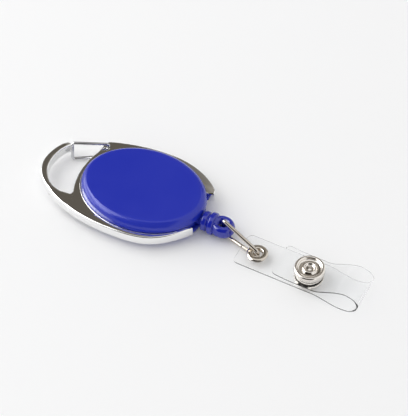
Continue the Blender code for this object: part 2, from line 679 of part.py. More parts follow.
# Cord end: a ribbed collar and a flat eye
def collar_profile():
    length = RIB_LENGTH * 2 + RIB_GROOVE + NECK_LENGTH
    line = [(0.0, length), (NECK_RADIUS, length)]
    for radius, start in ((RIB_RADII[1], RIB_LENGTH + RIB_GROOVE), (RIB_RADII[0], 0.0)):
        end = start + RIB_LENGTH
        line += [(radius - RIB_GROOVE_DEPTH, end), (radius - RIB_ROUND, end), (radius, end - RIB_ROUND),
                 (radius, start + RIB_ROUND), (radius - RIB_ROUND, start), (radius - RIB_GROOVE_DEPTH, start)]
    return line + [(0.0, 0.0)]


ring = bpy.data.curves.new("cord_end", "CURVE")
ring.dimensions = "3D"
ring.twist_mode = "Z_UP"
ring.bevel_mode = "OBJECT"
section = bpy.data.curves.new("eye_section", "CURVE")
section.dimensions = "2D"
section_half = Vector((EYE_WIDTH / 2, EYE_THICK / 2))
section_corners = [Vector((sx * section_half.x, sy * section_half.y))
                   for sx, sy in ((-1, -1), (1, -1), (1, 1), (-1, 1))]
add_spline(section, polygon(section_corners, [EYE_ROUND] * 4), True)
section_object = add_object("eye_section", section, cutters)
section_object.hide_render = True
ring.bevel_object = section_object
add_spline(ring, oval(EYE_SPAN, 32), True)
cord_end = as_mesh(add_object("cord_end", ring))
move(cord_end, Matrix.Translation((EYE_MIDDLE, EXIT_SIDE, MIDDLE)))
to_collar = Matrix.Translation((END_FACE, EXIT_SIDE, MIDDLE)) @ Matrix.Rotation(math.radians(90), 4, "Y")
collar = turned("collar", collar_profile(), False, 32, cutters)
chamber_end = END_LIP + 2 * KNOT_RADIUS + KNOT_PLAY
chamber_radius = KNOT_RADIUS + KNOT_PLAY
end_bore = rod("end_bore", END_BORE, -END_LIP, END_LIP + KNOT_PLAY, steps=12)
chamber = rod("knot_chamber", chamber_radius, END_LIP, chamber_end, steps=16)
for piece in (collar, end_bore, chamber):
    move(piece, to_collar)
join(cord_end, collar)
cut(cord_end, end_bore)
cut(cord_end, chamber)
finish(cord_end, blue_cord_end, cord_axis)


# Wire link: a long loop that stands on edge, up through the eye and down through the eyelet
def link_points():
    along = Vector((*link_reach.normalized(), 0.0))
    base = Vector((*LINK_AXIS, 0.0))
    past = link_reach.length + LINK_PAST
    eye_top = MIDDLE + EYE_THICK / 2
    eye_under = MIDDLE - EYE_THICK / 2
    tall = base + Vector((0.0, 0.0, eye_top + LINK_TOP))
    apex_up = base + along * past + Vector((0.0, 0.0, STRAP_LIFT + LINK_APEX[0]))
    apex_down = base + along * past + Vector((0.0, 0.0, STRAP_LIFT - LINK_APEX[1]))
    foot = base + Vector((0.0, 0.0, eye_under - LINK_UNDER))
    split = foot.lerp(apex_down, LINK_SPLIT_PLACE)
    half = (apex_down - foot).normalized() * LINK_SPLIT / 2
    corners = [split - half, foot, tall, apex_up, apex_down, split + half]
    bends = [LINK_BENDS[3], LINK_BENDS[0], LINK_BENDS[1], LINK_BENDS[2], 0.0]
    return polygon(corners, bends, closed=False)


finish(tube("link_wire", link_points(), LINK_WIRE / 2), nickel, link_axis)


# Vinyl strap: a lower layer with the fold, and an upper layer that the snap opens
def strip_outline(line):
    left = []
    right = []
    for i, point in enumerate(line):
        way = line[min(i + 1, len(line) - 1)] - line[max(i - 1, 0)]
        side = Vector((-way.y, way.x)).normalized() * STRAP_THICK / 2
        left.append(point + side)
        right.append(point - side)
    return right + left[::-1]


def strip_solid(name, line):
    made = flat_solid(name, strip_outline(line), -STRAP_WIDTH / 2, STRAP_WIDTH / 2)
    stand = Matrix.Rotation(strap_turn, 4, "Z") @ Matrix.Rotation(math.radians(90), 4, "X")
    made.matrix_world = Matrix.Identity(4)
    move(made, Matrix.Translation((*STRAP_START, 0.0)) @ stand)
    return made


flat_end = SNAP_PLACE + SNAP_FLAT
lower_line = [Vector((0.0, STRAP_LIFT))]
lower_points = [(SNAP_PLACE, STRAP_LIFT), (flat_end, STRAP_LIFT)] + list(LOOP_LOWER)
lower_line += smooth([Vector(p) for p in lower_points], STRAP_STEPS)
lower_line = trim(lower_line, 0.0, FOLD_SPLIT / 2)
lower = strip_solid("strap_lower", lower_line)
cut(lower, rod("eyelet_way", EYELET_BARREL + HOLE_PLAY, 0.0, FLAP_LIFT, eyelet_place))
cut(lower, rod("rivet_way", RIVET_RADIUS + HOLE_PLAY, LOWER_UNDER - STRAP_THICK, LOWER_TOP + STRAP_THICK,
               snap_place, 12))
finish(lower, clear_vinyl, strap_axis)

flap_points = [Vector(p) for p in (FOLD,) + LOOP_UPPER] + [Vector((flat_end, FLAP_LIFT))]
flap_line = smooth(flap_points, STRAP_STEPS)
flap_line += smooth([Vector((SNAP_PLACE, FLAP_LIFT)), Vector((SNAP_PLACE - SNAP_FLAT, FLAP_LIFT)),
                     Vector((FLAP_END, FLAP_LIFT + FLAP_END_RISE))], STRAP_STEPS)
flap_line = trim(flap_line, FOLD_SPLIT / 2, 0.0)
flap = strip_solid("strap_flap", flap_line)
cut(flap, rod("cap_way", CAP_BARREL[1] + HOLE_PLAY, FLAP_UNDER - STRAP_THICK, FLAP_TOP + STRAP_THICK,
              snap_place))
finish(flap, clear_vinyl, flap_axis)


# Eyelet and the four pieces of the snap
def fitting(name, profile, closed, place, carrier, steps=32):
    made = turned(name, profile, closed, steps)
    move(made, Matrix.Translation(place))
    return finish(made, nickel, carrier)


eyelet_seat = LOWER_TOP + LAYER_CLEARANCE
eyelet_under = LOWER_UNDER - LAYER_CLEARANCE
flange, flange_height = EYELET_TOP
foot_radius, foot_height = EYELET_FOOT
eyelet_profile = [
    (EYELET_HOLE, eyelet_seat + 0.7 * flange_height),
    ((EYELET_HOLE + flange) / 2, eyelet_seat + flange_height),
    (flange - flange_height / 2, eyelet_seat + 0.8 * flange_height),
    (flange, eyelet_seat + 0.3 * flange_height), (flange - flange_height / 4, eyelet_seat),
    (EYELET_BARREL, eyelet_seat), (EYELET_BARREL, eyelet_under), (foot_radius, eyelet_under),
    (foot_radius - foot_height / 4, eyelet_under - 0.7 * foot_height),
    ((EYELET_HOLE + foot_radius) / 2, eyelet_under - foot_height),
    (EYELET_HOLE, eyelet_under - 0.5 * foot_height)]
fitting("strap_eyelet", eyelet_profile, True, eyelet_place, strap_axis)

# The cap's face has a raised rim, a groove, an inner ring and a dimple
cap_foot = FLAP_TOP + LAYER_CLEARANCE
cap_top = cap_foot + CAP_HEIGHT
groove = cap_top - 0.45 * CAP_HEIGHT
barrel_in, barrel_out = CAP_BARREL
cap_profile = [
    (0.0, groove), (0.25 * CAP_RADIUS, groove), (0.31 * CAP_RADIUS, cap_top - 0.1 * CAP_HEIGHT),
    (0.46 * CAP_RADIUS, cap_top - 0.1 * CAP_HEIGHT), (0.53 * CAP_RADIUS, groove),
    (0.70 * CAP_RADIUS, groove),
    (0.78 * CAP_RADIUS, cap_top - 0.05 * CAP_HEIGHT), (0.86 * CAP_RADIUS, cap_top),
    (0.95 * CAP_RADIUS, cap_top - 0.12 * CAP_HEIGHT), (CAP_RADIUS, cap_top - 0.35 * CAP_HEIGHT),
    (CAP_RADIUS, cap_foot + 0.30 * CAP_HEIGHT), (0.93 * CAP_RADIUS, cap_foot + 0.12 * CAP_HEIGHT),
    (0.85 * CAP_RADIUS, cap_foot), (barrel_out, cap_foot), (barrel_out, FLAP_UNDER),
    (barrel_in, FLAP_UNDER),
    (barrel_in, groove - 0.15 * CAP_HEIGHT), (0.0, groove - 0.15 * CAP_HEIGHT)]
fitting("snap_cap", cap_profile, False, snap_place, flap_axis)

socket_top = FLAP_UNDER - LAYER_CLEARANCE
socket_profile = [
    (SOCKET_RADIUS - SOCKET_THICK / 4, socket_top), (SOCKET_RADIUS, socket_top - SOCKET_THICK / 4),
    (SOCKET_RADIUS, socket_top - SOCKET_THICK), (barrel_in, socket_top - SOCKET_THICK),
    (barrel_in, socket_top)]
fitting("snap_socket", socket_profile, True, snap_place, flap_axis)

stud_foot = LOWER_TOP + LAYER_CLEARANCE
base_radius, base_thick = STUD_BASE
stud_base = stud_foot + base_thick
stud_top = stud_base + STUD_HEIGHT
stud_bore_top = stud_top - 0.4 * STUD_HEIGHT
stud_profile = [
    (0.0, stud_top), (0.8 * STUD_RADIUS, stud_top), (STUD_RADIUS, stud_top - 0.2 * STUD_HEIGHT),
    (0.9 * STUD_RADIUS, stud_base + 0.2 * STUD_HEIGHT), (STUD_RADIUS, stud_base), (base_radius, stud_base),
    (base_radius, stud_foot), (STUD_BORE, stud_foot), (STUD_BORE, stud_bore_top), (0.0, stud_bore_top)]
fitting("snap_stud", stud_profile, False, snap_place, strap_axis)

head_radius, head_height = RIVET_HEAD
head_top = LOWER_UNDER - LAYER_CLEARANCE
rivet_top = stud_bore_top - LAYER_CLEARANCE
rivet_profile = [
    (0.0, rivet_top), (RIVET_RADIUS, rivet_top), (RIVET_RADIUS, head_top), (0.96 * head_radius, head_top),
    (head_radius, head_top - 0.2 * head_height), (0.92 * head_radius, head_top - 0.65 * head_height),
    (0.7 * head_radius, head_top - head_height), (0.0, head_top - head_height)]
fitting("snap_rivet", rivet_profile, False, snap_place, strap_axis)

print("parts", len([made for made in parts.objects if made.type == "MESH"]))
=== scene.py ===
# Badge reel on a carabiner frame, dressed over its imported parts
import math
import bpy
from mathutils import Matrix, Vector


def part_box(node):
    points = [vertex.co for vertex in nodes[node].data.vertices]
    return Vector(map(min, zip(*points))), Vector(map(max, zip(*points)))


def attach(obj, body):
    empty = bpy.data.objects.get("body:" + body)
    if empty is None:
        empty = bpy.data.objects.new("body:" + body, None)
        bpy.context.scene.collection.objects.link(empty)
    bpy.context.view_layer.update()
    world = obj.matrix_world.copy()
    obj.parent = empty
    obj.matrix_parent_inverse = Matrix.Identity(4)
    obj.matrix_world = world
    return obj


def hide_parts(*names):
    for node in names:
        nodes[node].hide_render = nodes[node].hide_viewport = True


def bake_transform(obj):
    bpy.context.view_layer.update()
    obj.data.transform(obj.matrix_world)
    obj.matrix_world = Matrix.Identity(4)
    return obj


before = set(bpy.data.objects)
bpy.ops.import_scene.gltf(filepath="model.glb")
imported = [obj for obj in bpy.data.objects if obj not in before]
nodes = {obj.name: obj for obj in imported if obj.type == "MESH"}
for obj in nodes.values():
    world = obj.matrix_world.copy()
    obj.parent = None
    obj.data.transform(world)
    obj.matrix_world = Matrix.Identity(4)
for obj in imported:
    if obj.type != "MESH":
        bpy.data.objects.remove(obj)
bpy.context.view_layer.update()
mm = 0.001
sameSpot = 0.000001  # points nearer than this are one

# Camera, at the photo's angle
cameraSet = {"azimuth": 25.0, "elevation": 50.5, "distance": 0.600, "lookAt": (0.017802, 0.006077, 0.0),
             "lens": 166.15, "sensor": 36.0, "nearest": 0.01}


def placeCamera():
    turn = math.radians(cameraSet["azimuth"])
    lift = math.radians(cameraSet["elevation"])
    back = Vector((math.sin(turn) * math.cos(lift), -math.cos(turn) * math.cos(lift), math.sin(lift)))
    lens = bpy.data.cameras.new("photoCamera")
    lens.lens = cameraSet["lens"]
    lens.sensor_width = cameraSet["sensor"]
    lens.clip_start = cameraSet["nearest"]
    camera = bpy.data.objects.new("photoCamera", lens)
    bpy.context.scene.collection.objects.link(camera)
    camera.location = Vector(cameraSet["lookAt"]) + back * cameraSet["distance"]
    camera.rotation_euler = (-back).to_track_quat("-Z", "Y").to_euler()
    bpy.context.scene.camera = camera


placeCamera()
print("camera placed")


# Modelling steps that the pieces share
def deselectAll():
    if bpy.context.object and bpy.context.object.mode != "OBJECT":
        bpy.ops.object.mode_set(mode="OBJECT")
    bpy.ops.object.select_all(action="DESELECT")


def takeActive(name):
    piece = bpy.context.object
    piece.name = name
    piece.data.name = name
    return piece


def makeActive(piece):
    deselectAll()
    piece.select_set(True)
    bpy.context.view_layer.objects.active = piece
    return piece


def weld(piece, distance=0.000002, turnOut=True):
    makeActive(piece)
    bpy.ops.object.mode_set(mode="EDIT")
    bpy.ops.mesh.select_all(action="SELECT")
    bpy.ops.mesh.remove_doubles(threshold=distance)
    if turnOut:
        bpy.ops.mesh.normals_make_consistent(inside=False)
    bpy.ops.object.mode_set(mode="OBJECT")


def smoothBy(piece, angle):
    makeActive(piece)
    bpy.ops.object.shade_smooth_by_angle(angle=math.radians(angle))


def applyAll(piece):
    makeActive(piece)
    for change in list(piece.modifiers):
        bpy.ops.object.modifier_apply(modifier=change.name)


def turnPiece(name, profile, place, around=72, smooth=40):
    # a line of (radius, height) in mm, spun about the upright through place
    deselectAll()
    bpy.ops.mesh.primitive_plane_add(size=0.001, location=(0.0, 0.0, 0.0))
    piece = takeActive(name)
    bpy.ops.object.mode_set(mode="EDIT")
    bpy.ops.mesh.select_all(action="SELECT")
    bpy.ops.mesh.merge(type="CENTER")
    bpy.ops.transform.translate(value=(profile[0][0] * mm, 0.0, profile[0][1] * mm))
    for (ra, za), (rb, zb) in zip(profile, profile[1:]):
        step = ((rb - ra) * mm, 0.0, (zb - za) * mm)
        bpy.ops.mesh.extrude_region_move(TRANSFORM_OT_translate={"value": step})
    bpy.ops.mesh.select_all(action="SELECT")
    bpy.ops.mesh.remove_doubles(threshold=sameSpot)
    bpy.ops.object.mode_set(mode="OBJECT")
    spin = piece.modifiers.new("spin", "SCREW")
    spin.axis = "Z"
    spin.steps = around
    spin.render_steps = around
    spin.use_merge_vertices = True
    spin.merge_threshold = sameSpot
    applyAll(piece)
    weld(piece)
    bpy.ops.object.mode_set(mode="EDIT")
    bpy.ops.mesh.select_all(action="SELECT")
    bpy.ops.transform.translate(value=(place[0], place[1], 0.0))
    bpy.ops.object.mode_set(mode="OBJECT")
    smoothBy(piece, smooth)
    return piece


def ovalPiece(name, rings, around=128, smooth=40):
    # rings of (half length, half width, height) in mm, drawn out one from the other
    middle = (0.0, 0.0, 0.0)
    deselectAll()
    bpy.ops.mesh.primitive_circle_add(vertices=around, radius=1.0, fill_type="NOTHING", location=middle)
    piece = takeActive(name)
    bpy.ops.object.mode_set(mode="EDIT")
    bpy.ops.mesh.select_all(action="SELECT")
    bpy.ops.transform.resize(value=(rings[0][0] * mm, rings[0][1] * mm, 1.0), center_override=middle)
    bpy.ops.transform.translate(value=(0.0, 0.0, rings[0][2] * mm))
    for one, two in zip(rings, rings[1:]):
        rise = (0.0, 0.0, (two[2] - one[2]) * mm)
        bpy.ops.mesh.extrude_region_move(TRANSFORM_OT_translate={"value": rise})
        bpy.ops.transform.resize(value=(two[0] / one[0], two[1] / one[1], 1.0), center_override=middle)
    bpy.ops.mesh.select_all(action="SELECT")
    bpy.ops.mesh.fill_holes(sides=0)
    bpy.ops.object.mode_set(mode="OBJECT")
    weld(piece)
    smoothBy(piece, smooth)
    return piece


def wirePiece(name, points, width, fine=4, smooth=50):
    # a round wire along a line of points
    deselectAll()
    bpy.ops.curve.primitive_bezier_curve_add(location=(0.0, 0.0, 0.0))
    wire = takeActive(name)
    wire.data.splines.clear()
    spline = wire.data.splines.new("POLY")
    spline.points.add(len(points) - 1)
    for place, point in zip(spline.points, points):
        place.co = (point[0], point[1], point[2], 1.0)
    wire.data.dimensions = "3D"
    wire.data.bevel_depth = width / 2
    wire.data.bevel_resolution = fine
    wire.data.use_fill_caps = True
    bpy.ops.object.convert(target="MESH")
    piece = takeActive(name)
    weld(piece)
    smoothBy(piece, smooth)
    return piece


def bendLine(corners, bends, steps=8):
    # straight runs between the corners, each inner corner rounded
    line = [Vector(corners[0])]
    for before, tip, after, bend in zip(corners, corners[1:], corners[2:], bends):
        before, tip, after = Vector(before), Vector(tip), Vector(after)
        a = tip + (before - tip).normalized() * bend
        b = tip + (after - tip).normalized() * bend
        line += [a.lerp(tip, i / steps).lerp(tip.lerp(b, i / steps), i / steps) for i in range(steps + 1)]
    return line + [Vector(corners[-1])]


def smoothLine(points, steps):
    # a smooth curve through the points
    line = []
    for i in range(len(points) - 1):
        a = Vector(points[max(i - 1, 0)])
        b = Vector(points[i])
        c = Vector(points[i + 1])
        d = Vector(points[min(i + 2, len(points) - 1)])
        for j in range(steps):
            t = j / steps
            line.append(0.5 * (2 * b + (c - a) * t + (2 * a - 5 * b + 4 * c - d) * t * t
                               + (3 * b - a - 3 * c + d) * t ** 3))
    return line + [Vector(points[-1])]


def evenLine(line, count):
    # the same line with points at equal steps along it
    far = [0.0]
    for a, b in zip(line, line[1:]):
        far.append(far[-1] + (b - a).length)
    even = []
    j = 0
    for i in range(count + 1):
        want = far[-1] * i / count
        while j < len(line) - 2 and far[j + 1] < want:
            j += 1
        gap = max(far[j + 1] - far[j], 1e-12)  # never nothing
        share = (want - far[j]) / gap
        even.append(line[j].lerp(line[j + 1], share))
    return even


def copyNode(nodeName, name, smooth=48):
    # a welded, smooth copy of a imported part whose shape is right
    piece = bpy.data.objects.new(name, nodes[nodeName].data.copy())
    piece.data.name = name
    bpy.context.scene.collection.objects.link(piece)
    makeActive(piece)
    bpy.ops.mesh.customdata_custom_splitnormals_clear()
    weld(piece, 0.000003, False)
    smoothBy(piece, smooth)
    # wide faces stay flat beside their round edges
    flatten = piece.modifiers.new("flatFaces", "WEIGHTED_NORMAL")
    flatten.keep_sharp = True
    flatten.weight = 90
    applyAll(piece)
    return piece


def arc(centreR, centreZ, radius, start, end, steps):
    # points of an arc in a profile, its angles in degrees from outwards to upwards
    angles = [math.radians(start + (end - start) * i / steps) for i in range(steps + 1)]
    return [(centreR + radius * math.cos(a), centreZ + radius * math.sin(a)) for a in angles]


# Finishes
def makeGrain():
    # fine unevenness: patches that shift colour and gloss, and a grain for the bump
    group = bpy.data.node_groups.new("surfaceGrain", "ShaderNodeTree")
    for label in ("Patch Scale", "Grain Scale", "Low Roughness", "High Roughness"):
        group.interface.new_socket(label, in_out="INPUT", socket_type="NodeSocketFloat")
    for label in ("Patch", "Roughness", "Height"):
        group.interface.new_socket(label, in_out="OUTPUT", socket_type="NodeSocketFloat")
    make = group.nodes.new
    link = group.links.new
    given = make("NodeGroupInput")
    out = make("NodeGroupOutput")
    where = make("ShaderNodeTexCoord")
    patch = make("ShaderNodeTexNoise")
    patch.inputs["Detail"].default_value = 4.0
    grain = make("ShaderNodeTexNoise")
    grain.inputs["Detail"].default_value = 2.0
    spread = make("ShaderNodeMapRange")
    spread.inputs["From Min"].default_value = 0.3
    spread.inputs["From Max"].default_value = 0.7
    link(where.outputs["Object"], patch.inputs["Vector"])
    link(where.outputs["Object"], grain.inputs["Vector"])
    link(given.outputs["Patch Scale"], patch.inputs["Scale"])
    link(given.outputs["Grain Scale"], grain.inputs["Scale"])
    link(patch.outputs["Fac"], spread.inputs["Value"])
    link(given.outputs["Low Roughness"], spread.inputs["To Min"])
    link(given.outputs["High Roughness"], spread.inputs["To Max"])
    link(patch.outputs["Fac"], out.inputs["Patch"])
    link(spread.outputs["Result"], out.inputs["Roughness"])
    link(grain.outputs["Fac"], out.inputs["Height"])
    return group


grainGroup = makeGrain()


def tintNode(tree, colours):
    # a Mix node from one colour to another: its colour sockets are 6 and 7, and 2 on the way out
    tint = tree.nodes.new("ShaderNodeMix")
    tint.data_type = "RGBA"
    tint.inputs[6].default_value = (*colours[0], 1.0)
    tint.inputs[7].default_value = (*colours[1], 1.0)
    return tint


def makeFinish(name, look):
    material = bpy.data.materials.new(name)
    material.use_nodes = True
    make = material.node_tree.nodes.new
    link = material.node_tree.links.new
    shader = material.node_tree.nodes["Principled BSDF"]
    for label, value in look["set"].items():
        shader.inputs[label].default_value = value
    grain = make("ShaderNodeGroup")
    grain.node_tree = grainGroup
    for label, value in look["grain"].items():
        grain.inputs[label].default_value = value
    tint = tintNode(material.node_tree, look["colours"])
    bump = make("ShaderNodeBump")
    bump.inputs["Strength"].default_value = look["bump"][0]
    bump.inputs["Distance"].default_value = look["bump"][1]
    link(grain.outputs["Patch"], tint.inputs[0])
    link(tint.outputs[2], shader.inputs["Base Color"])
    link(grain.outputs["Roughness"], shader.inputs["Roughness"])
    link(grain.outputs["Height"], bump.inputs["Height"])
    link(bump.outputs["Normal"], shader.inputs["Normal"])
    if look.get("letsLightThrough"):
        # no caustics: shadows and soft light go straight through
        path = make("ShaderNodeLightPath")
        passing = make("ShaderNodeBsdfTransparent")
        passing.inputs["Color"].default_value = (*look["letsLightThrough"], 1.0)
        mix = make("ShaderNodeMixShader")
        either = make("ShaderNodeMath")
        either.operation = "MAXIMUM"
        link(path.outputs["Is Shadow Ray"], either.inputs[0])
        link(path.outputs["Is Diffuse Ray"], either.inputs[1])
        link(either.outputs[0], mix.inputs[0])
        link(shader.outputs[0], mix.inputs[1])
        link(passing.outputs[0], mix.inputs[2])
        link(mix.outputs[0], material.node_tree.nodes["Material Output"].inputs["Surface"])
    return material


chromeLook = {
    "colours": ((0.90, 0.90, 0.89), (0.94, 0.94, 0.94)), "bump": (0.10, 0.00002), "set": {"Metallic": 1.0},
    "grain": {"Patch Scale": 160.0, "Grain Scale": 420.0, "Low Roughness": 0.05, "High Roughness": 0.09}}
# the gate's chrome, darker than the frame's: painted shade for the dark reflections along its wires
gateShadedLook = {
    "colours": ((0.58, 0.58, 0.60), (0.66, 0.66, 0.67)), "bump": (0.10, 0.00002), "set": {"Metallic": 1.0},
    "grain": {"Patch Scale": 220.0, "Grain Scale": 700.0, "Low Roughness": 0.05, "High Roughness": 0.09}}
# nickel darker and browner than the snap's: painted shade for the dark brown reflections on the link and
# eyelet
shadedNickelLook = {
    "colours": ((0.62, 0.56, 0.49), (0.70, 0.65, 0.58)), "bump": (0.12, 0.00002), "set": {"Metallic": 1.0},
    "grain": {"Patch Scale": 300.0, "Grain Scale": 900.0, "Low Roughness": 0.08, "High Roughness": 0.14}}
nickelLook = {
    "colours": ((0.84, 0.79, 0.73), (0.88, 0.84, 0.79)), "bump": (0.12, 0.00002), "set": {"Metallic": 1.0},
    "grain": {"Patch Scale": 300.0, "Grain Scale": 900.0, "Low Roughness": 0.10, "High Roughness": 0.17}}
caseLook = {
    "colours": ((0.011, 0.024, 0.405), (0.014, 0.028, 0.425)), "bump": (0.05, 0.00002), "set": {"IOR": 1.5},
    "grain": {"Patch Scale": 90.0, "Grain Scale": 1800.0, "Low Roughness": 0.20, "High Roughness": 0.25}}
cordEndLook = {
    "colours": ((0.008, 0.016, 0.330), (0.011, 0.020, 0.355)), "bump": (0.05, 0.00002), "set": {"IOR": 1.7},
    "grain": {"Patch Scale": 200.0, "Grain Scale": 1800.0, "Low Roughness": 0.07, "High Roughness": 0.11}}
acetalLook = {
    "colours": ((0.76, 0.76, 0.73), (0.82, 0.82, 0.80)), "bump": (0.10, 0.00002), "set": {"IOR": 1.48},
    "grain": {"Patch Scale": 120.0, "Grain Scale": 1500.0, "Low Roughness": 0.40, "High Roughness": 0.50}}
springLook = {
    "colours": ((0.38, 0.39, 0.42), (0.50, 0.48, 0.44)), "bump": (0.15, 0.00002), "set": {"Metallic": 1.0},
    "grain": {"Patch Scale": 250.0, "Grain Scale": 1400.0, "Low Roughness": 0.24, "High Roughness": 0.38}}
nylonLook = {
    "colours": ((0.015, 0.015, 0.018), (0.05, 0.05, 0.055)), "bump": (0.60, 0.00008), "set": {"IOR": 1.5},
    "grain": {"Patch Scale": 900.0, "Grain Scale": 3200.0, "Low Roughness": 0.55, "High Roughness": 0.75}}
vinylLook = {
    "colours": ((0.982, 0.986, 0.988), (0.994, 0.996, 0.997)), "bump": (0.04, 0.00005),
    "set": {"IOR": 1.33, "Transmission Weight": 1.0}, "letsLightThrough": (0.992, 0.994, 0.995),
    "grain": {"Patch Scale": 70.0, "Grain Scale": 160.0, "Low Roughness": 0.02, "High Roughness": 0.06}}
chrome = makeFinish("brightChrome", chromeLook)
shadedGateChrome = makeFinish("shadedGateChrome", gateShadedLook)
nickel = makeFinish("nickelPlate", nickelLook)
shadedNickel = makeFinish("shadedNickel", shadedNickelLook)
caseBlue = makeFinish("mouldedBlue", caseLook)
cordEndBlue = makeFinish("cordEndBlue", cordEndLook)
acetal = makeFinish("whiteAcetal", acetalLook)
springSteel = makeFinish("blueSpringSteel", springLook)
nylon = makeFinish("blackNylon", nylonLook)
vinyl = makeFinish("clearVinyl", vinylLook)
print("finishes made")


def giveFinish(piece, material):
    piece.data.materials.clear()
    piece.data.materials.append(material)


def settle(piece, material, body, slotName, *stoodFor):
    giveFinish(piece, material)
    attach(piece, body)
    if stoodFor:
        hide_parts(*stoodFor)
    return piece


# Chromed frame with the hook, and its spring gate
frameSet = {"smooth": 50, "bead": (20.75, 16.05, 5.46), "beadRound": 0.11, "beadArc": (33, 321),
            "beadSteps": 160, "inward": (0.4, 0.92), "moves": (
                # centre, reach and move of each change to the outline, and how far outwards it still acts
                ((-29.4, 6.3), 2.6, (0.42, 0.28), 99.0),  # tip of the nose
                ((-29.2, 6.8), 10.0, (-0.60, 1.30), 99.0),  # nose
                ((20.85, 8.6), 2.0, (-0.70, -0.20), 99.0),  # far cut end, outer corner
                ((17.7, 8.1), 2.0, (0.80, -0.80), 99.0),  # far cut end, inner corner
                ((20.5, -8.3), 16.0, (-0.77, 1.65), 99.0),  # near arm
                ((-22.3, -11.6), 7.5, (-0.5, 1.6), 1.75))}  # near edge of the hook's eye
gateSet = {"width": 1.0, "bend": 0.9, "pivot": (-18.322, 12.066), "barTop": (-28.95, 7.75, 6.6),
           "barFoot": (-28.45, 6.25, 0.9), "ends": (3.9, 3.6)}


def makeHookFrame():
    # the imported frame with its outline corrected, and the fine bead that is cast on it round the case
    body = copyNode("carabiner_frame", "hookFrame", frameSet["smooth"])
    for centre, reach, move, below in frameSet["moves"]:
        move = Vector(move)
        for spot in body.data.vertices:
            away = spot.co.xy / mm - Vector(centre)
            near = 1.0 - away.length / reach
            if near > 0.0 and away.dot(Vector(frameSet["inward"])) > -below:
                spot.co.xy += move * mm * near ** 2 * (3.0 - 2.0 * near)  # eased out at its reach
    a, b, height = frameSet["bead"]
    start, end = frameSet["beadArc"]
    steps = frameSet["beadSteps"]
    turns = [math.radians(start + (end - start) * i / steps) for i in range(steps + 1)]
    bead = wirePiece("frameBead", [Vector((a * math.cos(t), b * math.sin(t), height)) * mm for t in turns],
                     frameSet["beadRound"] * 2 * mm, 3)
    makeActive(bead)
    body.select_set(True)
    bpy.context.view_layer.objects.active = body
    bpy.ops.object.join()
    return body


hookFrame = makeHookFrame()
settle(hookFrame, chrome, "reel", "chrome", "carabiner_frame")


def gateLine():
    pivot, top, foot = gateSet["pivot"], gateSet["barTop"], gateSet["barFoot"]
    heights = (gateSet["ends"][0], top[2], foot[2], gateSet["ends"][1])
    inside, above, below, under = [(*pivot, height) for height in heights]
    corners = [Vector(c) * mm for c in (inside, above, top, foot, below, under)]
    return bendLine(corners, [gateSet["bend"] * mm] * 4)


gate = wirePiece("springGate", gateLine(), gateSet["width"] * mm)
settle(gate, shadedGateChrome, "gate", "chrome", "gate_wire")
print("frame and gate done")

# Blue case: a front with a rounded shoulder, and the back
caseSet = {"half": (20.4, 15.7), "foot": 5.6, "top": 9.1, "crown": 0.10, "plateau": (2.05, 0.02),
           "inside": (19.2, 14.5), "roof": 7.8, "roofRound": (0.6, 0.2), "roofMiddle": (0.4, 0.33),
           "face": (0.02, 0.2, 0.4, 0.6, 0.75, 0.87, 0.95, 0.99),  # shares of the way to the plateau's edge
           # the shoulder: in from the outline, and down from the face
           "side": ((1.80, 0.07), (1.45, 0.26), (1.08, 0.56), (0.74, 0.90), (0.48, 1.28), (0.28, 1.72),
                    (0.15, 2.2), (0.08, 2.8), (0.05, 3.0), (0.0, 3.1), (0.0, 3.3), (0.08, 3.45), (0.22, 3.5))}


def frontRings():
    a, b = caseSet["half"]
    top, foot = caseSet["top"], caseSet["foot"]
    edge, drop = caseSet["plateau"]
    rings = []
    for share in caseSet["face"]:
        rings.append(((a - edge) * share, (b - edge) * share, top - caseSet["crown"] * share ** 4))
    line = smoothLine([Vector((edge, 0.0, drop))] + [Vector((s, 0.0, d)) for s, d in caseSet["side"]], 4)
    tall = (top - caseSet["crown"] - foot) / caseSet["side"][-1][1]
    rings += [(a - spot.x, b - spot.x, top - caseSet["crown"] - spot.z * tall) for spot in line]
    ia, ib = caseSet["inside"]
    roof = caseSet["roof"]
    far, near = caseSet["roofRound"]
    rings += [(ia, ib, foot), (ia, ib, roof - far), (ia - near, ib - near, roof - near)]
    rings += [(ia - far, ib - far, roof), (ia * 0.5, ib * 0.5, roof), (*caseSet["roofMiddle"], roof)]
    return rings


caseFront = ovalPiece("caseFront", frontRings())
settle(caseFront, caseBlue, "reel", "blue_shell", "front_shell")
caseBack = copyNode("rear_shell", "caseBack", 40)
settle(caseBack, caseBlue, "reel", "blue_shell", "rear_shell")
print("case done")

# Drum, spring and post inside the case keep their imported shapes
for inside, material in (("spring_post", acetal), ("spool", acetal), ("spring_cover", acetal),
                         ("power_spring", springSteel)):
    giveFinish(nodes[inside], material)
print("drum and spring painted")

# Cord: wound on the drum, out through the nozzle, and knotted in the cord end
cordSet = {"width": 0.8, "woundWidth": 0.76, "outWidth": 0.72, "radius": 11.2, "core": 10.4, "pitch": 0.80,
           "turns": 3, "around": 24, "leave": -50.0, "side": -1.2, "height": 3.75,
           "run": ((17.2, -1.5), (18.4, -1.2), (19.6, -1.2)), "lead": (19.9, 20.6, 21.3, 22.0, 23.45),
           "out": (19.3, 22.4), "outSteps": 40}


def woundLine():
    # two layers, down and up again
    line = []
    around = cordSet["around"]
    for layer, radius in enumerate((cordSet["core"], cordSet["radius"])):
        turns = cordSet["turns"]
        half = cordSet["pitch"] * turns / 2
        for i in range(turns * around + 1):
            turn = math.radians(cordSet["leave"] - 360 * i / around)
            height = cordSet["height"] + (half - cordSet["pitch"] * i / around) * (-1) ** layer
            line.append(Vector((radius * math.cos(turn), radius * math.sin(turn), height)) * mm)
    return line


def leadLine():
    side, height = cordSet["side"], cordSet["height"]
    return [Vector((x, side, height)) * mm for x in cordSet["lead"]]


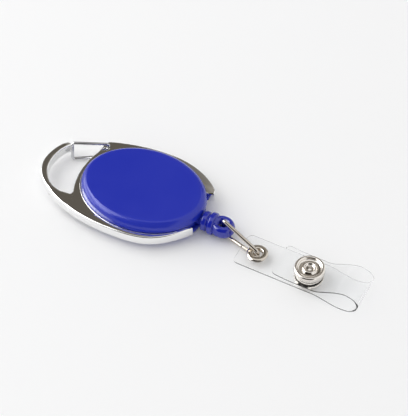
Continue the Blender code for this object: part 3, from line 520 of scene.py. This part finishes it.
cordWound = wirePiece("cordWound", woundLine(), cordSet["woundWidth"] * mm, 2)
settle(cordWound, nylon, "drum", "nylon_cord", "cord_core", "cord_winding")
runLow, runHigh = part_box("cord_run")
cordHalf = cordSet["width"] / 2 * mm
runStart = Vector((runLow.x + cordHalf, runLow.y + cordHalf, runHigh.z - cordHalf))
runPoints = [runStart] + [Vector((x, y, cordSet["height"])) * mm for x, y in cordSet["run"]]
cordRun = wirePiece("cordRun", smoothLine(runPoints, 8), cordSet["width"] * mm, 3)
settle(cordRun, nylon, "reel", "nylon_cord", "cord_run")
cordLead = wirePiece("cordLead", leadLine(), cordSet["width"] * mm, 3)
settle(cordLead, nylon, "pull_end", "nylon_cord", "cord_lead")
outLine = [Vector((x, cordSet["side"], cordSet["height"])) * mm for x in cordSet["out"]]
cordOut = wirePiece("cordOut", evenLine(outLine, cordSet["outSteps"]), cordSet["outWidth"] * mm, 3)
giveFinish(cordOut, nylon)  # the cord between the case and the cord end
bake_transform(cordOut)
print("cord done")

# Cord end: a ribbed collar and a thick eye
endSet = {"face": 21.0, "side": -1.2, "height": 3.75, "eye": 27.45, "eyeHalf": (2.65, 2.2), "eyeWidth": 2.75,
          "eyeThick": 4.4, "ribs": ((0.0, 3.2), (2.3, 3.6)), "ribLength": 1.8, "voxel": 0.11, "axle": 0.02,
          # in from the rib's radius, and along from its end
          "ribEdge": ((0.6, 0.0), (0.25, 0.02), (0.0, 0.35)), "neck": ((2.6, 4.9), (2.2, 5.4))}


def makeCordEnd():
    profile = [(endSet["axle"], 0.0)]
    for start, radius in endSet["ribs"]:
        end = start + endSet["ribLength"]
        profile += [(radius - drop, start + along) for drop, along in endSet["ribEdge"]]
        profile += [(radius - drop, end - along) for drop, along in reversed(endSet["ribEdge"])]
    profile += [*endSet["neck"], (endSet["axle"], endSet["neck"][-1][1])]
    collar = turnPiece("cordEnd", profile, (0.0, 0.0), 64)
    bpy.ops.object.mode_set(mode="EDIT")
    bpy.ops.mesh.select_all(action="SELECT")
    bpy.ops.mesh.fill_holes(sides=0)
    bpy.ops.object.mode_set(mode="OBJECT")
    turned = Matrix.Rotation(math.radians(90), 4, "Y")
    place = Vector((endSet["face"], endSet["side"], endSet["height"])) * mm
    collar.data.transform(Matrix.Translation(place) @ turned)
    deselectAll()
    thin = 0.4  # the plain ring's thickness, shaped to the eye's width and height below
    bpy.ops.mesh.primitive_torus_add(major_radius=1.0, minor_radius=thin, major_segments=96,
                                     minor_segments=32)
    eye = takeActive("cordEye")
    a, b = endSet["eyeHalf"]
    for spot in eye.data.vertices:
        turn = math.atan2(spot.co.y, spot.co.x)
        out = (math.hypot(spot.co.x, spot.co.y) - 1.0) / thin * endSet["eyeWidth"] / 2
        middle = Vector((a * math.cos(turn), b * math.sin(turn)))
        way = Vector((math.cos(turn) / a, math.sin(turn) / b)).normalized()
        flat = middle + way * out
        spot.co = (flat.x * mm, flat.y * mm, spot.co.z / thin * endSet["eyeThick"] / 2 * mm)
    eye.data.transform(Matrix.Translation(Vector((endSet["eye"], endSet["side"], endSet["height"])) * mm))
    makeActive(eye)
    collar.select_set(True)
    bpy.context.view_layer.objects.active = collar
    bpy.ops.object.join()
    remesh = collar.modifiers.new("blendTogether", "REMESH")
    remesh.mode = "VOXEL"
    remesh.voxel_size = endSet["voxel"] * mm
    soften = collar.modifiers.new("soften", "SMOOTH")
    soften.factor = 0.5
    soften.iterations = 4
    applyAll(collar)
    bpy.ops.object.shade_smooth()
    return collar


cordEnd = makeCordEnd()
settle(cordEnd, cordEndBlue, "pull_end", "blue_cord_end", "cord_end")

# Wire link between the cord end and the strap
linkSet = {"width": 1.2, "axis": (27.75, -1.2), "eyelet": (41.044, -5.156), "past": 0.15, "top": 7.15,
           "foot": 0.95, "apex": (3.35, 0.6), "bends": (0.9, 1.0, 1.3, 1.0), "split": (0.55, 0.4)}


def linkLine():
    axis = Vector((*linkSet["axis"], 0.0))
    reach = Vector((*linkSet["eyelet"], 0.0)) - axis
    far = axis + reach.normalized() * (reach.length + linkSet["past"])
    foot = axis + Vector((0.0, 0.0, linkSet["foot"]))
    tall = axis + Vector((0.0, 0.0, linkSet["top"]))
    up = far + Vector((0.0, 0.0, linkSet["apex"][0]))
    down = far + Vector((0.0, 0.0, linkSet["apex"][1]))
    split = foot.lerp(down, linkSet["split"][0])
    half = (down - foot).normalized() * linkSet["split"][1] / 2
    corners = [split - half, foot, tall, up, down, split + half]
    return bendLine([c * mm for c in corners], [b * mm for b in linkSet["bends"]])


wireLink = wirePiece("wireLink", linkLine(), linkSet["width"] * mm)
settle(wireLink, shadedNickel, "link", "nickel", "link_wire")
print("cord end and link done")

# Clear strap, one strip from the eyelet round the fold to the end of the flap
strapSet = {"start": (35.4, -4.9), "turn": -2.6, "width": 12.0, "thick": 0.36, "endRound": 1.6, "steps": 170,
            "across": 16, "edgeRound": 0.06, "eyelet": 5.65, "hole": 1.93, "punch": 2.0, "snap": 23.1,
            "fold": (37.0, 7.8), "hinge": 2.4,
            # along and up: the lower layer, the loop, and the flap
            "line": ((0.0, 2.05), (5.65, 2.05), (11.5, 2.05), (17.3, 2.05), (23.1, 2.05), (27.6, 2.05),
                     (31.0, 1.3), (34.0, 0.58), (36.6, 0.42), (39.4, 1.0), (41.2, 2.9), (41.5, 5.0),
                     (40.4, 6.9), (38.6, 7.6), (37.0, 7.8), (34.4, 7.0), (31.2, 5.4),
                     (27.6, 3.75), (23.1, 3.75), (18.6, 3.75), (12.9, 4.35))}
strapTurn = Matrix.Rotation(math.radians(strapSet["turn"]), 4, "Z")
startX, startY = strapSet["start"]
strapPlace = Matrix.Translation((startX * mm, startY * mm, 0.0)) @ strapTurn


def strapPoint(s, height=0.0):
    return strapPlace @ Vector((s * mm, 0.0, height * mm))


def makeStrap():
    steps, across = strapSet["steps"], strapSet["across"]
    line = evenLine(smoothLine([Vector((s, 0.0, z)) for s, z in strapSet["line"]], 10), steps)
    deselectAll()
    bpy.ops.mesh.primitive_grid_add(x_subdivisions=steps, y_subdivisions=across, size=2.0)
    strap = takeActive("clearStrap")
    length = sum((b - a).length for a, b in zip(line, line[1:]))
    half = strapSet["width"] / 2
    corner = strapSet["endRound"]
    weights = []  # how far each point goes with the flap
    fold = Vector((strapSet["fold"][0], 0, strapSet["fold"][1]))
    foldAt = min(range(len(line)), key=lambda i: (line[i] - fold).length)
    for spot in strap.data.vertices:
        i = round((spot.co.x + 1.0) / 2.0 * steps)
        along = length * i / steps
        edge = min(along, length - along)
        wide = half
        if edge < corner:
            wide = half - corner + math.sqrt(max(corner ** 2 - (corner - edge) ** 2, 0.0))
        place = line[i]
        spot.co = strapPlace @ (Vector((place.x, spot.co.y * wide, place.z)) * mm)
        gone = (along - length * foldAt / steps) / strapSet["hinge"] + 0.5
        gone = min(max(gone, 0.0), 1.0)
        weights.append(gone * gone * (3 - 2 * gone))
    mark = strap.data.attributes.new("foldShare", "FLOAT", "POINT")
    mark.data.foreach_set("value", weights)
    wall = strap.modifiers.new("thickness", "SOLIDIFY")
    wall.thickness = strapSet["thick"] * mm
    wall.offset = 0.0
    wall.use_even_offset = True
    soft = strap.modifiers.new("edge", "BEVEL")
    soft.width = strapSet["edgeRound"] * mm
    soft.segments = 2
    soft.limit_method = "ANGLE"
    applyAll(strap)
    deselectAll()
    holeSpot = strapPoint(strapSet["eyelet"], strapSet["line"][0][1])
    bpy.ops.mesh.primitive_cylinder_add(vertices=48, radius=strapSet["hole"] * mm,
                                        depth=strapSet["punch"] * mm, location=holeSpot)
    punch = takeActive("eyeletPunch")
    cut = strap.modifiers.new("eyeletHole", "BOOLEAN")
    cut.object = punch
    cut.solver = "EXACT"
    applyAll(strap)
    bpy.data.objects.remove(punch)
    smoothBy(strap, 35)
    return strap, length


strap, strapLength = makeStrap()
giveFinish(strap, vinyl)
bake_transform(strap)
# the layers lie over each other, so the shares go by the way along the strip
shares = [0.0] * len(strap.data.vertices)
strap.data.attributes["foldShare"].data.foreach_get("value", shares)
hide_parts("strap_lower", "strap_flap")
print("strap done, unfolded", round(strapLength, 1), "mm")

# Rolled eyelet and the four pieces of the ring snap
eyeletSet = {"hole": 1.5, "tube": 1.95, "flange": 3.3, "seat": 2.40, "foot": 2.9, "under": 1.70,
             # out from the hole or the flange, and up from the seat
             "mouth": ((0.0, -0.3), (0.02, 0.1), (0.15, 0.38), (0.45, 0.56), (0.85, 0.6)),
             "roll": ((-0.5, 0.55), (-0.2, 0.4), (0.0, 0.2), (-0.02, 0.06), (-0.12, 0.0)),
             # out from the foot or the hole, and up from the underside
             "curl": ((0.0, 0.0), (-0.06, -0.18), (-0.3, -0.27), (-0.7, -0.3)),
             "lip": ((0.1, -0.2), (0.0, 0.0))}
snapSet = {"foot": 4.10, "top": 6.15, "deep": 0.65, "web": 0.22, "bore": 2.1, "around": 96,
           # radius, depth under the top, bend, first and last angle, and steps
           "ring": (1.85, 0.42, 0.38, 165, 15, 8), "rim": (4.15, 0.62, 0.62, 160, -10, 12),
           # radius, and height over the groove's floor
           "button": ((0.0, 0.22), (0.35, 0.2), (0.75, 0.05), (1.15, 0.0), (1.35, 0.1)),
           "groove": ((2.4, 0.15), (2.55, 0.0), (3.3, -0.02), (3.5, 0.12)),
           # radius, and height over the foot
           "skirt": ((4.8, 0.45), (4.7, 0.22), (4.4, 0.03), (4.1, 0.0), (2.6, 0.0), (2.6, -0.7))}
eyeletSpot = strapPoint(strapSet["eyelet"])
snapSpot = strapPoint(strapSet["snap"])


def eyeletProfile():
    seat, under = eyeletSet["seat"], eyeletSet["under"]
    line = [(eyeletSet["hole"] + out, seat + up) for out, up in eyeletSet["mouth"]]
    line += [(eyeletSet["flange"] + out, seat + up) for out, up in eyeletSet["roll"]]
    line += [(eyeletSet["tube"], seat), (eyeletSet["tube"], under)]
    line += [(eyeletSet["foot"] + out, under + up) for out, up in eyeletSet["curl"]]
    line += [(eyeletSet["hole"] + out, under + up) for out, up in eyeletSet["lip"]]
    return line + [line[0]]


eyelet = turnPiece("rolledEyelet", eyeletProfile(), eyeletSpot)
settle(eyelet, shadedNickel, "strap", "nickel", "strap_eyelet")


def capProfile():
    top, foot, bore = snapSet["top"], snapSet["foot"], snapSet["bore"]
    floor = top - snapSet["deep"]
    line = []
    for flat, hump in (("button", "ring"), ("groove", "rim")):
        line += [(radius, floor + up) for radius, up in snapSet[flat]]
        radius, down, bend, start, end, steps = snapSet[hump]
        line += arc(radius, top - down, bend, start, end, steps)
    line += [(radius, foot + up) for radius, up in snapSet["skirt"]]
    under = floor - snapSet["web"]
    return line + [(bore, line[-1][1]), (bore, under), (0.0, under)]


snapCap = turnPiece("snapCap", capProfile(), snapSpot, snapSet["around"])
settle(snapCap, nickel, "flap", "nickel", "snap_cap")
for cadName, name, body in (("snap_socket", "snapSocket", "flap"), ("snap_stud", "snapStud", "strap"),
                            ("snap_rivet", "snapRivet", "strap")):
    settle(copyNode(cadName, name, 40), nickel, body, "nickel", cadName)
print("eyelet and snap done")

# Stage: pale floor, soft light, and dark and bright cards that only reflections see
stageSet = {"floor": (0.92, 0.92, 0.922), "floorRadius": 5.0, "floorRough": 0.9, "floorShine": 0.1,
            "dome": 0.76, "shown": 0.93}
keySet = {"place": (-0.82, -0.12, 0.78), "target": (0.01, 0.0, 0.0), "size": (1.20, 1.20), "power": 6.4}
cardFade = (-0.05, 0.12)  # from a card's middle, along X, where its first colour turns to its second
cardSet = {
    "darkCard": {"way": (-0.27, 0.58, 0.77), "distance": 1.2, "size": (1.3, 0.85),
                 "colours": ((0.115, 0.102, 0.085), (0.30, 0.28, 0.25))},
    "lowCard": {"way": (-0.30, 0.90, 0.22), "distance": 1.5, "size": (2.6, 0.70),
                "colours": ((0.14, 0.13, 0.115), (0.20, 0.19, 0.17))},
    "frontCard": {"way": (0.12, -0.80, 0.58), "distance": 1.2, "size": (1.9, 1.7),
                  "colours": ((0.020, 0.017, 0.014), (0.05, 0.042, 0.035))},
    "brightCard": {"way": (-0.67, -0.26, 0.70), "distance": 1.0, "size": (0.95, 0.62),
                   "colours": ((6.5, 6.5, 6.5), (4.2, 4.2, 4.2))},
    "leftCard": {"way": (-0.96, -0.14, 0.17), "distance": 1.0, "size": (0.90, 0.30),
                 "colours": ((4.6, 4.6, 4.6), (4.6, 4.6, 4.6))}}


def makeStage():
    deselectAll()
    bpy.ops.mesh.primitive_circle_add(vertices=96, radius=stageSet["floorRadius"], fill_type="NGON",
                                      location=(0.0, 0.0, 0.0))
    floor = takeActive("paleFloor")
    paint = bpy.data.materials.new("paleFloor")
    paint.use_nodes = True
    shader = paint.node_tree.nodes["Principled BSDF"]
    shader.inputs["Base Color"].default_value = (*stageSet["floor"], 1.0)
    shader.inputs["Roughness"].default_value = stageSet["floorRough"]
    shader.inputs["Specular IOR Level"].default_value = stageSet["floorShine"]
    floor.data.materials.append(paint)
    world = bpy.data.worlds.new("studio")
    world.use_nodes = True
    bpy.context.scene.world = world
    make = world.node_tree.nodes.new
    wire = world.node_tree.links.new
    light = world.node_tree.nodes["Background"]
    light.inputs["Strength"].default_value = stageSet["dome"]
    shown = make("ShaderNodeBackground")
    shown.inputs["Strength"].default_value = stageSet["shown"]
    # what is seen, mirrored or seen through the strap is the shown backdrop; the rest is the dome's light
    path = make("ShaderNodeLightPath")
    either = make("ShaderNodeMath")
    either.operation = "MAXIMUM"
    anySight = make("ShaderNodeMath")
    anySight.operation = "MAXIMUM"
    mix = make("ShaderNodeMixShader")
    wire(path.outputs["Is Camera Ray"], either.inputs[0])
    wire(path.outputs["Is Glossy Ray"], either.inputs[1])
    wire(either.outputs[0], anySight.inputs[0])
    wire(path.outputs["Is Transmission Ray"], anySight.inputs[1])
    for colours in (light, shown):
        colours.inputs["Color"].default_value = (1.0, 1.0, 1.0, 1.0)
    wire(anySight.outputs[0], mix.inputs[0])
    wire(light.outputs[0], mix.inputs[1])
    wire(shown.outputs[0], mix.inputs[2])
    wire(mix.outputs[0], world.node_tree.nodes["World Output"].inputs["Surface"])


def addLamp(name, place, target, size, power):
    lamp = bpy.data.lights.new(name, "AREA")
    lamp.shape = "RECTANGLE"
    lamp.size, lamp.size_y = size
    lamp.energy = power
    made = bpy.data.objects.new(name, lamp)
    bpy.context.scene.collection.objects.link(made)
    made.location = place
    made.visible_glossy = False
    made.rotation_euler = (Vector(target) - Vector(place)).to_track_quat("-Z", "Y").to_euler()


def addCard(name, way, distance, size, colours):
    deselectAll()
    way = Vector(way).normalized()
    bpy.ops.mesh.primitive_plane_add(size=1.0)
    card = takeActive(name)
    place = Matrix.Translation(way * distance) @ (-way).to_track_quat("Z", "Y").to_matrix().to_4x4()
    card.data.transform(place @ Matrix.Diagonal((size[0], size[1], 1.0, 1.0)))
    paint = bpy.data.materials.new(name)
    paint.use_nodes = True
    shader = paint.node_tree.nodes["Principled BSDF"]
    shader.inputs["Base Color"].default_value = (0.0, 0.0, 0.0, 1.0)
    shader.inputs["Specular IOR Level"].default_value = 0.0
    where = paint.node_tree.nodes.new("ShaderNodeTexCoord")
    split = paint.node_tree.nodes.new("ShaderNodeSeparateXYZ")
    fade = paint.node_tree.nodes.new("ShaderNodeMapRange")
    fade.inputs["From Min"].default_value = place.translation.x + cardFade[0]
    fade.inputs["From Max"].default_value = place.translation.x + cardFade[1]
    tint = tintNode(paint.node_tree, colours)
    wire = paint.node_tree.links.new
    wire(where.outputs["Object"], split.inputs[0])
    wire(split.outputs["X"], fade.inputs["Value"])
    wire(fade.outputs["Result"], tint.inputs[0])
    wire(tint.outputs[2], shader.inputs["Emission Color"])
    shader.inputs["Emission Strength"].default_value = 1.0
    card.data.materials.append(paint)
    card.visible_camera = False
    card.visible_diffuse = False
    card.visible_shadow = False
    card.visible_transmission = False


makeStage()
addLamp("keyLight", **keySet)
for name, card in cardSet.items():
    addCard(name, **card)
bpy.context.scene.view_settings.view_transform = "Standard"
print("stage done")
